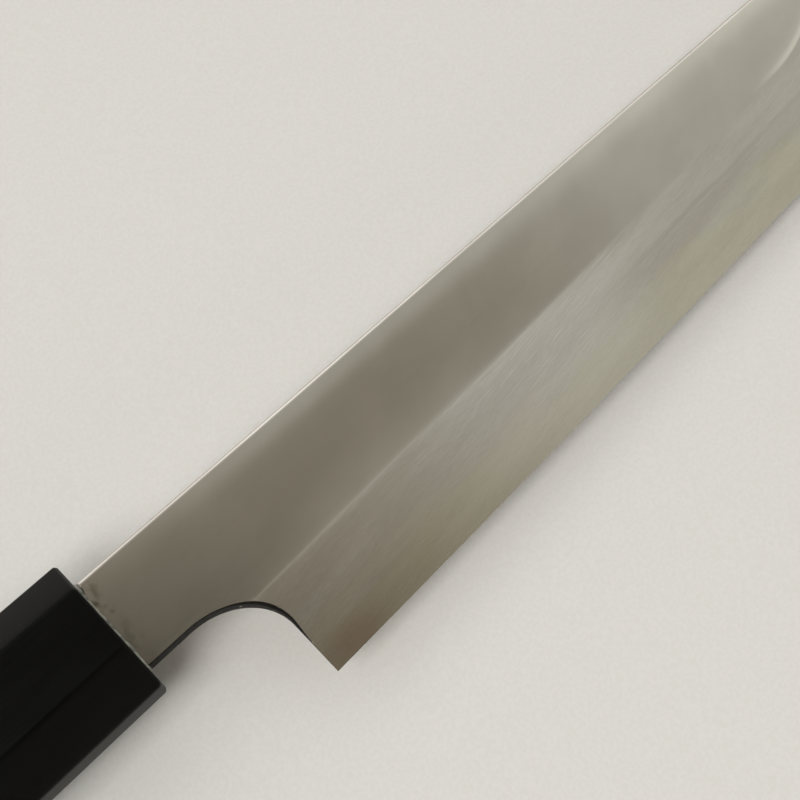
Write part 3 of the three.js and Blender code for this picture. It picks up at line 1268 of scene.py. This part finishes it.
    def notch_ease(self, depth: float) -> float:
        """Returns the easing of the notch's front corner: little under the neck, most at the heel's top."""
        worn = lerp(self.rim_ease, self.heel_ease, smooth((depth - self.neck_height) / self.notch_worn))
        return worn * held((self.heel_height - depth) / self.notch_sharp)

    def store_distances(self, piece: Piece) -> None:
        """Stores at each point its distances, in mm, for the finishes.

        Args:
            piece: a piece of the blade, in the shared frame.
        """
        origin = knife_origin()
        spots = [(v.co - origin) / MM for v in piece.data.vertices]
        places = [min(max(p.x, self.heel_setback), self.length) for p in spots]
        along, below = self.bloom
        measures = {
            Distance.NECK: [p.x for p in spots],
            Distance.RIDGE: [-p.y - self.ridge_depth(p.x) for p in spots],
            Distance.SEAM: [-p.y - self.seam_depth(x) for p, x in zip(spots, places)],
            Distance.HEEL: [math.hypot((p.x - along) / self.bloom_stretch, p.y + below) for p in spots],
        }
        for name, values in measures.items():
            piece.data.attributes.new(name.value, "FLOAT", "POINT").data.foreach_set("value", values)


@dataclass
class Blade:
    """The forged blade: soft iron body with its tang, and the hard steel layer on its back. Sizes in mm.

    Attributes:
        form: the shape that both steels share.
        spine_rows: depths of the front's rows below the spine, at the heel.
        ridge_rows: distances of rows from the ridge.
        rows: how many rows lie between those, and on each steel's bevel.
    """

    form: BladeForm
    spine_rows: tuple[float, ...] = (0.9, 1.4, 2.0, 2.7, 3.5, 4.4, 5.4, 6.6)
    ridge_rows: tuple[float, ...] = (-1.2, -0.8, -0.5, -0.25, 0.0, 0.25, 0.5, 0.8, 1.2)
    rows: int = 5
    row_start: float = 0.4
    row_end: float = 0.6
    seam_starts: Point2 = (0.3, 0.9)  # first places of the seam's lines, past the heel
    hollow_rows: int = 11
    hollow_span: float = 0.9  # share of the hollow's width that its rows take up
    hollow_guard: float = 1.02  # size of the line that guards the hollow's outline
    cross_step: float = 0.9
    cross_inset: float = 0.6
    neck_step: float = 1.0
    tip_step: float = 0.8
    tip_gap: float = 0.6
    tip_edge_radius: float = 2.5
    tip_edge_steps: int = 8
    iron_ease_share: float = 0.4  # most of the iron's thickness that an easing may take
    steel_ease_share: float = 0.3  # the same for the hard steel
    heel_uneased: float = 2.0  # the heel isn't eased where it is thinner than this many edges

    def build(self) -> None:
        """Builds, dresses and fits both steels."""
        for name, plate, node, slot in (
            ("blade_iron_body", self.iron_plate(), "soft_iron_blade", "soft_iron"),
            ("blade_steel_edge", self.steel_plate(), "hard_steel_edge", "hard_steel"),
        ):
            piece = place_mesh(name, plate.mesh())
            self.form.store_distances(piece)
            for face in BladeFace:
                piece.data.materials.append(BLADE_FINISHES[face].material())
            fit_piece(piece, node, slot)

    def iron_plate(self) -> Plate:
        """Draws the soft iron: body, neck and tang.

        Returns:
            The iron as a plate.
        """
        form = self.form
        neck = form.spine_points(spaced(form.steel_start - form.step, form.neck_start, self.neck_step))
        spine = form.spine_run(form.steel_start + form.step) + neck
        end, axis, half = form.neck_start - form.tang_length, form.neck_height / 2, form.tang_end_height / 2
        tang = [
            RimPoint(form.neck_start, -form.tang_shoulder),
            RimPoint(end, half - axis),
            RimPoint(end, -half - axis),
            RimPoint(form.neck_start, form.tang_shoulder - form.neck_height),
        ]
        notch = form.notch_run(form.neck_start, form.seam_depth(form.heel_setback))
        notch = [replace(p, front_ease=self.iron_ease(-p.y)) for p in notch]
        for run in (spine, notch):
            run[:] = [replace(p, back_ease=form.back_ease) if p.x < form.steel_start else p for p in run]
        seam = [RimPoint(x, -form.seam_depth(x)) for x in form.edge_stations(form.length)]
        places = spaced(seam[-1].y + self.tip_gap, -form.tip_spine_radius, self.tip_step)[:-1]
        tip = [RimPoint(form.length, y, form.rim_ease) for y in places]
        outline = spine + tang + notch + seam + tip
        shoulder = [self.cross_line(x) for x in (form.neck_start - form.step, form.neck_start)]
        landing = [self.cross_line(x) for x in (form.steel_start - form.step, form.steel_start)]
        rows = self.front_rows() + shoulder
        return Plate(outline, form.front, form.iron_back, rows, shoulder + landing, self.iron_face)

    def iron_ease(self, depth: float) -> float:
        """Returns the easing of the notch's front corner, less where the iron runs out."""
        wall = self.form.front(self.form.heel_setback, -depth) - self.form.steel_thickness
        return min(self.form.notch_ease(depth), self.iron_ease_share * max(wall, 0.0))

    def steel_ease(self, height: float) -> float:
        """Returns the easing of the steel's back corner, less where the steel is thin."""
        return min(self.form.back_ease, self.steel_ease_share * max(height, 0.0))

    def steel_plate(self) -> Plate:
        """Draws the hard steel, with its bevel in front and its hollow behind.

        Returns:
            The steel as a plate.
        """
        form = self.form
        sharp = self.heel_uneased * form.edge_thickness
        spine = form.spine_run(form.steel_start)
        spine = [replace(p, front_ease=0.0, back_ease=form.back_ease) for p in spine]
        heel = [
            replace(p, back_ease=self.steel_ease(form.front(p.x, p.y) - sharp))
            for p in form.notch_run(form.steel_start, form.heel_height)
        ]
        spine[-1] = replace(spine[-1], back_ease=0.0)
        heel[0] = replace(heel[0], back_ease=0.0)
        radius = self.tip_edge_radius
        middle = form.length - radius
        edge = [RimPoint(x, -form.edge_depth(x)) for x in form.edge_stations(middle)]
        low = edge[-1].y + radius
        for turn in quarter(self.tip_edge_steps)[1:]:
            edge.append(RimPoint(middle + radius * math.sin(turn), low - radius * math.cos(turn)))
        tip = [
            RimPoint(form.length, y, back_ease=self.steel_ease(form.front(form.length, y)))
            for y in spaced(low, -form.tip_spine_radius, self.tip_step)[1:-1]
        ]
        stations = form.stations(form.heel_setback, form.length)
        places = [form.heel_setback + start for start in self.seam_starts] + stations[1:]
        lines = [[(x, rise - form.seam_depth(x)) for x in places] for rise in (form.seam_step, 0.0)]
        for share in between(self.rows):
            lines.append([(x, -lerp(form.seam_depth(x), form.edge_depth(x), share)) for x in stations])
        outline = spine + heel + edge + tip
        return Plate(outline, form.steel_front, form.hollow, lines, self.back_rows(), self.steel_face)

    def front_rows(self) -> list[Line]:
        """Draws lines along the front: close below the spine, at the ridge, and wide apart between.

        Returns:
            The lines.
        """
        form = self.form
        places = form.stations(form.neck_start + self.row_start, form.length - self.row_end)
        inner = self.spine_rows[-1] / form.ridge_heel
        outer = 1 + self.ridge_rows[0] / form.ridge_tip
        shares = [drop / form.ridge_heel for drop in self.spine_rows]
        shares += [lerp(inner, outer, share) for share in between(self.rows)]
        rows = [[(x, -share * form.ridge_depth(x)) for x in places] for share in shares]
        rows += [[(x, -form.ridge_depth(x) - off) for x in places] for off in self.ridge_rows]
        bevel = [x for x in places if x > form.heel_setback]
        starts = [form.ridge_depth(x) + self.ridge_rows[-1] for x in bevel]
        ends = [form.seam_depth(x) for x in bevel]
        for share in between(self.rows):
            rows.append([(x, -lerp(start, end, share)) for x, start, end in zip(bevel, starts, ends)])
        return rows

    def back_rows(self) -> list[Line]:
        """Draws lines on the back: the hollow's outline, a guard line round it, and rows inside it.

        Returns:
            The lines.
        """
        form = self.form
        lines = form.hollow_rim(1.0) + form.hollow_rim(self.hollow_guard)
        for i in range(self.hollow_rows):
            across = lerp(-self.hollow_span, self.hollow_span, i / (self.hollow_rows - 1))
            bend = form.hollow_runout * (1 - math.sqrt(1 - across * across))
            inset = form.hollow_end_rim + bend + self.row_end
            places = form.stations(form.heel_setback + inset, form.length - inset)
            lines.append([(x, form.hollow_place(x, across)) for x in places])
        return lines

    def cross_line(self, x: float) -> Line:
        """Returns a line straight across the neck."""
        end = self.cross_inset - self.form.neck_height
        return [(x, y) for y in spaced(-self.cross_inset, end, self.cross_step)]

    def iron_face(self, x: float, y: float, side: Side) -> BladeFace:
        """Names the iron's face at a place.

        Args:
            x: place along the blade.
            y: place across it.
            side: front or back.

        Returns:
            The face.
        """
        if x <= self.form.neck_start:
            return BladeFace.RIM
        if side is Side.BACK:
            return BladeFace.LAPPED
        return BladeFace.FLAT if -y < self.form.ridge_depth(x) else BladeFace.BEVEL

    def steel_face(self, x: float, y: float, side: Side) -> BladeFace:
        """Names the steel's face at a place, from the side and the hollow's depth there."""
        back = BladeFace.HOLLOW if self.form.hollow(x, y) > WELD else BladeFace.LAPPED
        return BladeFace.BEVEL if side is Side.FRONT else back


# Handle


@dataclass
class Octagon:
    """The handle's tapering octagonal section. Sizes in mm.

    Attributes:
        length: front face to butt.
        axis: y and z of the handle's middle line.
    """

    length: float
    axis: Point2
    front_height: float = 22.0
    front_thickness: float = 18.6
    front_cut: float = 6.0
    butt_height: float = 24.0
    butt_thickness: float = 20.2
    butt_cut: float = 6.5
    edge_round: float = 0.7
    front_round: float = 0.4  # the same at the front rim
    front_reach: float = 1.2
    facet_crown: float = 0.04
    corner_steps: int = 5
    facet_steps: int = 6

    def ring(self, x: float, inset: float = 0.0) -> Ring:
        """Draws the section at one place along the handle.

        Args:
            x: place along the handle, negative behind the front face.
            inset: how far the section is drawn in.

        Returns:
            A closed ring, its corners rounded and its facets a little crowned.
        """
        share = -x / self.length
        high = lerp(self.front_height, self.butt_height, share) / 2 - inset
        thick = lerp(self.front_thickness, self.butt_thickness, share) / 2 - inset
        cut = lerp(self.front_cut, self.butt_cut, share) - inset * (2 - math.sqrt(2))
        half = [(high, thick - cut), (high - cut, thick), (cut - high, thick), (-high, thick - cut)]
        corners = [Vector((sign * y, sign * z)) for sign in (1, -1) for y, z in half]
        rounding = lerp(self.edge_round, self.front_round, smooth(1 + x / self.front_reach))
        reach = rounding * math.tan(math.pi / 8) * 2
        points: list[Vector] = []
        for i, corner in enumerate(corners):
            before, after = corners[i - 1], corners[(i + 1) % len(corners)]
            one = corner + (before - corner).normalized() * reach
            two = corner + (after - corner).normalized() * reach
            for j in range(self.corner_steps + 1):
                t = j / self.corner_steps
                points.append(one * (1 - t) ** 2 + corner * 2 * t * (1 - t) + two * t * t)
            end = after + (corner - after).normalized() * reach
            out = Vector((end.y - two.y, two.x - end.x)).normalized()
            for t in between(self.facet_steps - 1):
                points.append(two.lerp(end, t) + out * self.facet_crown * 4 * t * (1 - t))
        return [Vector((x, p.x + self.axis[0], p.y + self.axis[1])) for p in points]

    def circle(self, x: float, diameter: float) -> Ring:
        """Returns a circle about the axis, with its points in line with the section's."""
        middle = Vector((x, *self.axis))
        return [middle + (point - middle).normalized() * diameter / 2 for point in self.ring(x)]


@dataclass
class Handle:
    """The handle: horn ferrule, ebony body, and the wooden core that joins them. Sizes in mm.

    Attributes:
        section: the octagon that ferrule and body share.
        ferrule_length: front face to the joint.
        core_end: where the core's bore ends in the body.
        butt_rings: insets of the rings on the butt's face.
    """

    section: Octagon
    ferrule_length: float
    core_end: float
    bore: float = 13.6
    rim: float = 0.5
    joint_ease: float = 0.1
    butt_ease: float = 0.9
    station: float = 4.0
    butt_rings: Point2 = (2.5, 5.5)
    ease_steps: int = 6
    ease_reach: float = 1.3  # how far back an eased rim runs, in its sizes
    ease_bunch: float = 1.6  # packs its rings towards the end face, where it bends most
    ease_fall: float = 2.55  # how steeply it leaves the end face
    ease_clear: float = 2.0  # how far back the facets' own rings start, in sizes of the eased rim

    def build(self) -> None:
        """Builds, dresses and fits the ferrule and the body, and dresses the core."""
        for name, rings, looped, finish, node, slot in (
            ("handle_horn_ferrule", self.ferrule_rings(), True, SatinHorn(), "horn_ferrule", "horn"),
            ("handle_ebony_body", self.body_rings(), False, OiledEbony(), "handle_body", "ebony"),
        ):
            piece = loft(name, rings, looped)
            piece.data.materials.append(finish.material())
            fit_piece(piece, node, slot)
        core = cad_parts["tang_core"]
        core.data.materials.clear()
        core.data.materials.append(RawMagnolia().material())
        LOG.info("%s keeps its solid", core.name)

    def eased(self, x: float, ease: float, way: int) -> list[Ring]:
        """Draws the rings of an eased rim.

        Args:
            x: place of the end face.
            ease: size of the easing.
            way: 1 where the piece lies towards +X of the face, -1 where it lies towards -X.

        Returns:
            Rings, from the end face to the facets.
        """
        rings = []
        for step in range(self.ease_steps + 1):
            share = (step / self.ease_steps) ** self.ease_bunch
            back, inset = self.ease_reach * share, (1 - share) ** self.ease_fall
            rings.append(self.section.ring(x + way * back * ease, inset * ease))
        return rings

    def outside(self, front: float, front_ease: float, back: float, back_ease: float) -> list[Ring]:
        """Draws the facets of a piece between its two eased rims.

        Args:
            front: place of the front face.
            front_ease: size of its rim's easing.
            back: place of the back face.
            back_ease: size of its rim's easing.

        Returns:
            Rings, from the front face to the back face.
        """
        start, end = front - self.ease_clear * front_ease, back + self.ease_clear * back_ease
        facets = [self.section.ring(x) for x in spaced(start, end, self.station)[1:-1]]
        return self.eased(front, front_ease, -1) + facets + self.eased(back, back_ease, 1)[::-1]

    def ferrule_rings(self) -> list[Ring]:
        """Draws the ferrule's rings: bore, front rim, facets and joint.

        Returns:
            The rings, in order.
        """
        end = -self.ferrule_length
        mouth, foot = (self.section.circle(x, self.bore) for x in (0.0, end))
        return [mouth, *self.outside(0.0, self.rim, end, self.joint_ease), foot]

    def body_rings(self) -> list[Ring]:
        """Draws the body's rings: bore, joint, facets and butt.

        Returns:
            The rings, in order.
        """
        start, end = -self.ferrule_length, -self.section.length
        bore = [self.section.circle(x, self.bore) for x in (self.core_end, start)]
        butt = [self.section.ring(end, self.butt_ease + inset) for inset in self.butt_rings]
        return bore + self.outside(start, self.joint_ease, end, self.butt_ease) + butt


@dataclass
class MouthSeal:
    """The bead of sealing compound around the neck, in the mouth of the ferrule. Sizes in mm.

    Attributes:
        height: the neck's height.
        thickness: the neck's thickness.
    """

    height: float
    thickness: float
    corner: float = 0.4
    creep: float = 0.28  # how far it runs out along the neck
    foot: float = 0.24  # how far it spreads over the ferrule's face at spine and belly
    face_foot: float = 1.1  # the same on the blade's two faces
    root: float = 0.3  # how far it reaches in under the neck's eased corners
    depth: float = 1.4
    stem: float = 0.7  # width inside the mouth, as a share of the foot
    lip: float = 0.03  # how far off the neck its curve starts
    skin: float = 0.01  # how thin it runs out on the ferrule's face
    foot_ends: Point2 = (-0.1, -0.3)  # how far in the foot's rim and the stem's start lie
    curve: Point2 = (1.2, 0.75)  # powers that hollow the curve from neck to ferrule
    uneven: float = 0.4
    lump: float = 1.7
    finer: float = 3.0  # how many times narrower the fine lumps are
    fine_share: float = 0.5  # how much they count
    squeeze: float = 3.0  # how many times shorter the lumps are through the blade
    seeds: Point3 = (8.3, 2.1, 5.5)
    stations: int = 260
    curve_steps: int = 9

    def build(self) -> None:
        """Builds, dresses and fits the bead."""
        piece = loft("neck_seal_bead", [self.profile(i) for i in range(self.stations)], True)
        piece.data.materials.append(SealingCompound().material())
        fit_piece(piece, "tang_mouth_seal", "sealant")

    def path(self, share: float) -> tuple[Vector, Vector]:
        """Follows the neck's outline, from the front's spine corner towards the edge.

        Args:
            share: share of the way round.

        Returns:
            The point and the outward direction, in the plane across the blade.
        """
        half_y, half_z = self.height / 2 - self.corner, self.thickness / 2 - self.corner
        arc = math.pi / 2 * self.corner
        runs = (2 * half_y, arc, 2 * half_z, arc) * 2
        corners = [Vector((y * half_y, z * half_z)) for y, z in ((-1, 1), (-1, -1), (1, -1), (1, 1))]
        left = share * sum(runs)
        for i, run in enumerate(runs):
            if left <= run or i == len(runs) - 1:
                break
            left -= run
        side = i // 2
        turn = math.pi / 2 * (1 + side) + (left / self.corner if i % 2 else 0.0)
        out = Vector((math.cos(turn), math.sin(turn)))
        spot = corners[side] if i % 2 else corners[side - 1].lerp(corners[side], left / run)
        return spot + out * self.corner + Vector((-self.height / 2, self.thickness / 2)), out

    def profile(self, index: int) -> Ring:
        """Draws the bead's closed section at one place round the neck.

        Args:
            index: which of the stations.

        Returns:
            A ring of points.
        """
        spot, out = self.path(index / self.stations)
        coarse, fine, spread = self.seeds
        bump = waver(spot.x, spot.y * self.squeeze, self.lump, coarse)
        bump += self.fine_share * waver(spot.x, spot.y * self.squeeze, self.lump / self.finer, fine)
        creep = self.creep * (1 + self.uneven * bump)
        foot = lerp(self.foot, self.face_foot, out.y * out.y)
        foot *= 1 + self.uneven * waver(spot.x, spot.y, self.lump, spread)
        section = [(-self.root, -self.depth), (-self.root, creep)]
        for turn in quarter(self.curve_steps):
            off = self.lip + foot * (1 - math.cos(turn)) ** self.curve[0]
            section.append((off, creep * (1 - math.sin(turn)) ** self.curve[1] + self.skin))
        stem = self.foot * self.stem
        section += [(foot, self.foot_ends[0]), (stem, self.foot_ends[1]), (stem, -self.depth)]
        return [Vector((along, spot.x + out.x * off, spot.y + out.y * off)) for off, along in section]


# Studio


@dataclass(frozen=True)
class Glow:
    """Light that rises over the studio's dome towards one side.

    Attributes:
        side: direction towards the light.
        start: how far a place lies towards that side where the light begins, from -1 to 1.
        end: the same where the light is full.
        strength: how much it adds.
    """

    side: Point3
    start: float
    end: float
    strength: float


@dataclass
class Studio:
    """Floor, light and camera, in metres, with the camera in mm in the knife's frame.

    Attributes:
        rest_rim: x and z of the ferrule's rim on the floor, in mm in the knife's frame.
        rest_tip: x and z of the tip on the floor, in mm in the knife's frame.
        tint_range: the dome's level at which its light is at the dim and at the full tint.
    """

    rest_rim: Point2
    rest_tip: Point2
    floor_radius: float = 1.5
    sweep: float = 0.7
    sweep_steps: int = 16
    floor_steps: int = 96
    wall_top: float = 1.0
    overhead: float = 0.07
    darkest: float = 0.02
    glows: tuple[Glow, ...] = (
        Glow((0.984, -0.177, 0.0), -0.06, 0.15, 0.12),
        Glow((0.984, -0.177, 0.0), 0.28, 0.61, 0.4),
        Glow((0.0, 1.0, 0.0), 0.12, 0.37, 0.32),
        Glow((0.0, 1.0, 0.0), 0.42, 0.8, 0.75),
        Glow((0.299, -0.07, 0.952), 0.955, 1.0, 0.3),
        Glow((-1.0, 0.0, 0.0), 0.05, 0.6, 0.25),
        Glow((0.0, -1.0, 0.0), 0.4, 0.8, -0.3),
    )
    dim_tint: str = "#fff3e6"
    full_tint: str = "#ffffff"
    tint_range: Fade = (0.25, 0.65)
    key_power: float = 73.0
    key_size: float = 1.8
    key_place: Point3 = (-1.9, -0.2, 2.75)
    eye: Point3 = (0.423, -46.944, 161.435)
    target: Point3 = (51.322, -11.354, 3.4)
    up: Point3 = (0.64093, 0.67837, 0.3592)
    lens: float = 52.026
    near: float = 0.01

    def build(self) -> None:
        """Lays the floor, sets the light and the camera."""
        self.lay_floor()
        self.light()
        self.set_camera()

    def lay_floor(self) -> None:
        """Lays a pale floor that sweeps up all round; the knife rests on the ferrule's rim and on its tip."""
        origin = knife_origin()
        slope = (self.rest_tip[1] - self.rest_rim[1]) / (self.rest_tip[0] - self.rest_rim[0])
        level = origin.z + (self.rest_rim[1] - slope * self.rest_rim[0]) * MM - slope * origin.x
        profile = [(0.0, 0.0)]
        for turn in quarter(self.sweep_steps):
            out, up = self.floor_radius + self.sweep * math.sin(turn), self.sweep * (1 - math.cos(turn))
            profile.append((out, up))
        profile.append((self.floor_radius + self.sweep, self.wall_top))
        bm = bmesh.new()
        verts = [bm.verts.new((out, 0.0, up)) for out, up in profile]
        edges = [bm.edges.new(pair) for pair in zip(verts, verts[1:])]
        bmesh.ops.spin(
            bm,
            geom=verts + edges,
            axis=(0, 0, 1),
            cent=Vector(),
            angle=math.tau,
            steps=self.floor_steps,
        )
        bmesh.ops.remove_doubles(bm, verts=bm.verts, dist=MM * WELD)
        for vert in bm.verts:
            vert.co.z += level + slope * vert.co.x
        mesh = bpy.data.meshes.new("studio_floor")
        bm.to_mesh(mesh)
        bm.free()
        mesh.shade_smooth()
        mesh.materials.append(StudioPaper().material())
        floor = bpy.data.objects.new("studio_floor", mesh)
        bpy.context.scene.collection.objects.link(floor)

    def light(self) -> None:
        """Sets a soft dome with bright sides, dim overhead, and one large lamp behind the handle."""
        world = bpy.data.worlds.new("studio_dome")
        world.use_nodes = True
        tree = world.node_tree
        way = add_node(tree, "TexCoord", out="Generated")
        level: Any = self.overhead
        for glow in self.glows:
            turned = add_node(tree, "VectorMath", way, glow.side, operation="DOT_PRODUCT")
            share = shown(tree, (turned, glow.start, glow.end, 0.0, glow.strength))
            level = add_node(tree, "Math", share, level, operation="ADD")
        bright = shown(tree, (level, *self.tint_range))
        tint = add_node(tree, "Mix", bright, linear(self.dim_tint), linear(self.full_tint), data_type="RGBA")
        strength = add_node(tree, "Math", level, self.darkest, operation="MAXIMUM")
        background = tree.nodes["Background"].inputs
        tree.links.new(tint, background["Color"])
        tree.links.new(strength, background["Strength"])
        bpy.context.scene.world = world
        lamp = bpy.data.lights.new("key_lamp", "AREA")
        lamp.energy = self.key_power
        lamp.size = self.key_size
        key = bpy.data.objects.new("key_lamp", lamp)
        key.location = self.key_place
        key.rotation_mode = "QUATERNION"
        key.rotation_quaternion = (-Vector(self.key_place)).to_track_quat("-Z", "Y")
        bpy.context.scene.collection.objects.link(key)

    def set_camera(self) -> None:
        """Sets the camera at the photograph's viewing angle."""
        back = (Vector(self.eye) - Vector(self.target)).normalized()
        right = Vector(self.up).cross(back).normalized()
        turn = Matrix((right, back.cross(right), back)).transposed()
        camera = bpy.data.cameras.new("photo_camera")
        camera.lens = self.lens
        camera.clip_start = self.near
        eye = bpy.data.objects.new("photo_camera", camera)
        eye.matrix_world = Matrix.Translation(knife_origin() + Vector(self.eye) * MM) @ turn.to_4x4()
        bpy.context.scene.collection.objects.link(eye)
        bpy.context.scene.camera = eye
        bpy.context.scene.view_settings.view_transform = "Standard"


def main() -> None:
    """Builds the knife and its studio."""
    logging.basicConfig(level=logging.INFO, format="%(message)s")
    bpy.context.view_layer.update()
    ferrule_low, ferrule_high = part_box("horn_ferrule")
    front = ferrule_high.x
    form = BladeForm(length=(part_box("soft_iron_blade")[1].x - front) / MM)
    Blade(form).build()
    section = Octagon(
        length=(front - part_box("handle_body")[0].x) / MM,
        axis=(-form.neck_height / 2, form.spine_neck / 2),
    )
    handle = Handle(
        section,
        ferrule_length=(front - ferrule_low.x) / MM,
        core_end=(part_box("tang_core")[0].x - front) / MM,
    )
    handle.build()
    MouthSeal(form.neck_height, form.spine_neck).build()
    rim = (-handle.rim, section.axis[1] - section.front_thickness / 2)
    Studio(rest_rim=rim, rest_tip=(form.length, 0.0)).build()


if __name__ == "__main__":
    main()
